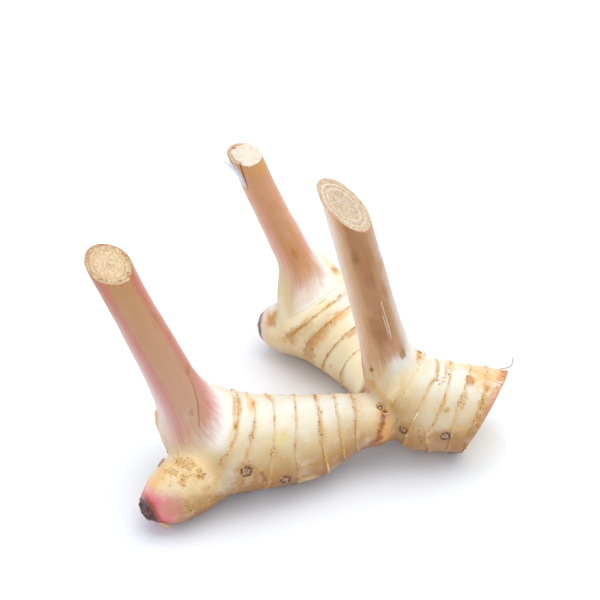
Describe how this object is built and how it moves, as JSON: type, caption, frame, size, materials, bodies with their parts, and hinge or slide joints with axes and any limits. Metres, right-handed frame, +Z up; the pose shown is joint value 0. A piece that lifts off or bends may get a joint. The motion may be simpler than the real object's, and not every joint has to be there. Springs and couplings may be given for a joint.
{
  "type": "galangal root",
  "caption": "Fresh forked galangal root with ringed limbs, round root scars, pointed buds and obliquely cut leafy stems.",
  "frame": {"origin": "middle of the overall footprint, on the surface that the root lies on", "axes": "+X towards the cut old end of the mother limb, +Y away from the picture's camera, +Z up"},
  "size_m": [0.1551, 0.1277, 0.1122],
  "materials": {
    "rhizome": "smooth, slightly glossy cream skin",
    "stem_left": "satin leaf sheath, rose at the edges",
    "stem_right": "satin leaf sheath, tan",
    "stem_back": "satin leaf sheath, tan and rose",
    "bud_left": "satin scale leaves, pink with a dark tip",
    "bud_back": "satin scale leaves, purplish"
  },
  "bodies": {
    "root": {"rhizome": "rhizome", "stem_left": "stem_left", "stem_right": "stem_right", "stem_back": "stem_back", "bud_left": "bud_left", "bud_back": "bud_back"}
  },
  "joints": []
}
